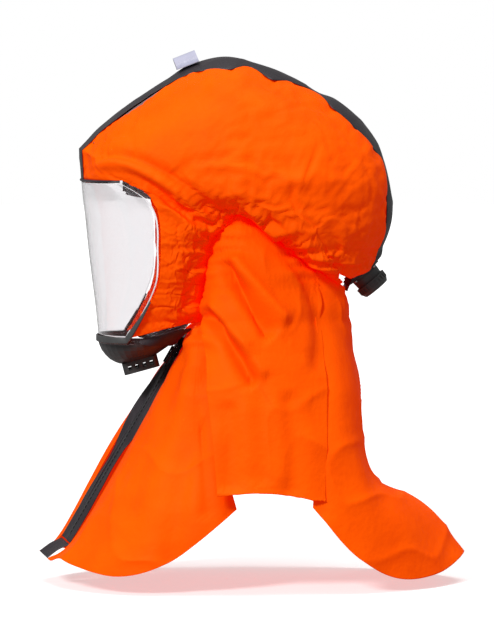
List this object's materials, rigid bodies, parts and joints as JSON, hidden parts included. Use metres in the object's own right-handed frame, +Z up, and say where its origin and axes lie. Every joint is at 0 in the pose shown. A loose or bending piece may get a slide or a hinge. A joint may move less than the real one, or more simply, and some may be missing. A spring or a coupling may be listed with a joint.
{
  "type": "powered-air respirator hood",
  "caption": "Loose-fitting hood with a bent clear visor, shoulder cape with front zip, chin valve, crown air duct, swivelling rear hose inlet and ratchet head harness.",
  "frame": {"origin": "centre of the headband, where the head sits", "axes": "+Z up the wearer's head, -Y the way the wearer faces, +X to the wearer's left"},
  "size_m": [0.3108, 0.4604, 0.5715],
  "materials": {
    "fabric_orange": "coated, semi-matt",
    "fabric_black": "coated, semi-matt",
    "duct_mesh": "open mesh",
    "reflective_ribbon": "reflective woven",
    "elastic_black": "braided",
    "lens_clear": "clear, polished",
    "plastic_black": "fine moulded texture",
    "plastic_grey": "fine moulded texture",
    "band_plastic": "satin",
    "rubber_black": "matt",
    "flap_silicone": "satin",
    "foam_grey": "towelling over foam",
    "webbing_black": "woven tape",
    "zip_plastic": "satin",
    "steel": "satin"
  },
  "bodies": {
    "hood": {"dome_panel_left": "fabric_orange", "dome_panel_right": "fabric_orange", "cheek_panel_left": "fabric_orange", "cheek_panel_right": "fabric_orange", "crown_duct_cover": "fabric_black", "duct_spacer": "duct_mesh", "duct_liner": "fabric_black", "brow_binding": "fabric_black", "crown_loop": "reflective_ribbon", "inlet_grommet": "rubber_black", "neck_elastic": "elastic_black", "chin_gusset": "fabric_orange", "bib_panel_left": "fabric_orange", "bib_panel_right": "fabric_orange", "shoulder_panel_left": "fabric_orange", "shoulder_panel_right": "fabric_orange", "cape_back_panel": "fabric_orange", "visor_lens": "lens_clear", "chin_rim": "plastic_black", "chin_guard": "plastic_black", "valve_seat": "plastic_grey", "valve_cover": "plastic_black", "chin_screws": "steel", "air_diffuser": "plastic_black", "brow_bracket": "plastic_black", "inlet_flange": "plastic_grey", "inlet_backing_ring": "plastic_grey", "inlet_screws": "steel", "headband": "band_plastic", "sweatband": "foam_grey", "crown_strap_long": "band_plastic", "crown_strap_cross": "band_plastic", "strap_rivets": "plastic_grey", "crown_hanger": "webbing_black", "ratchet_housing": "plastic_black", "nape_pad": "foam_grey", "zip_facing_left": "fabric_black", "zip_facing_right": "fabric_black", "zip_tape_left": "fabric_black", "zip_tape_right": "fabric_black", "zip_coil": "zip_plastic", "zip_garage": "fabric_black"},
    "inlet": {"inlet_spigot": "plastic_grey", "inlet_o_ring": "rubber_black", "inlet_retainer": "steel"},
    "exhale_flap": {"valve_flap": "flap_silicone"},
    "knob": {"ratchet_knob": "plastic_black", "ratchet_pinion": "plastic_grey", "knob_screw": "steel"},
    "tail_left": {"band_tail_left": "band_plastic"},
    "tail_right": {"band_tail_right": "band_plastic"},
    "slider": {"zip_slider": "zip_plastic"},
    "pull": {"zip_pull": "zip_plastic"}
  },
  "joints": [
    {"name": "inlet_swivel", "type": "hinge", "parent": "hood", "child": "inlet", "pos_m": [0, 0.157, -0.0825], "axis": [0, 0.6428, -0.766], "continuous": true},
    {"name": "valve_lift", "type": "slide", "parent": "hood", "child": "exhale_flap", "axis": [0, 0.2607, -0.9654], "range_m": [0, 0.0025], "stiffness_N_per_m": 30, "springref_m": -0.002},
    {"name": "ratchet_turn", "type": "hinge", "parent": "hood", "child": "knob", "pos_m": [0, 0.09913, -0.01393], "axis": [0, 0.9903, -0.1392], "range_deg": [-180, 180]},
    {"name": "tail_left_slide", "type": "hinge", "parent": "hood", "child": "tail_left", "pos_m": [0, 0.01783, -0.0025], "axis": [0, 0.1392, 0.9903], "range_deg": [-11.5, 11.5]},
    {"name": "tail_right_slide", "type": "hinge", "parent": "hood", "child": "tail_right", "pos_m": [0, 0.01783, -0.0025], "axis": [0, 0.1392, 0.9903], "range_deg": [-11.5, 11.5]},
    {"name": "zip_slide", "type": "slide", "parent": "hood", "child": "slider", "axis": [0, -0.5031, -0.8643], "range_m": [0, 0.215]},
    {"name": "pull_swing", "type": "hinge", "parent": "slider", "child": "pull", "pos_m": [0.00142, -0.04805, -0.16581], "axis": [-0.9511, -0.2671, 0.1555], "range_deg": [0, 18]}
  ],
  "couplings": [
    {"joint": "tail_left_slide", "follows": "ratchet_turn", "ratio": -0.060386},
    {"joint": "tail_right_slide", "follows": "ratchet_turn", "ratio": 0.059172}
  ]
}
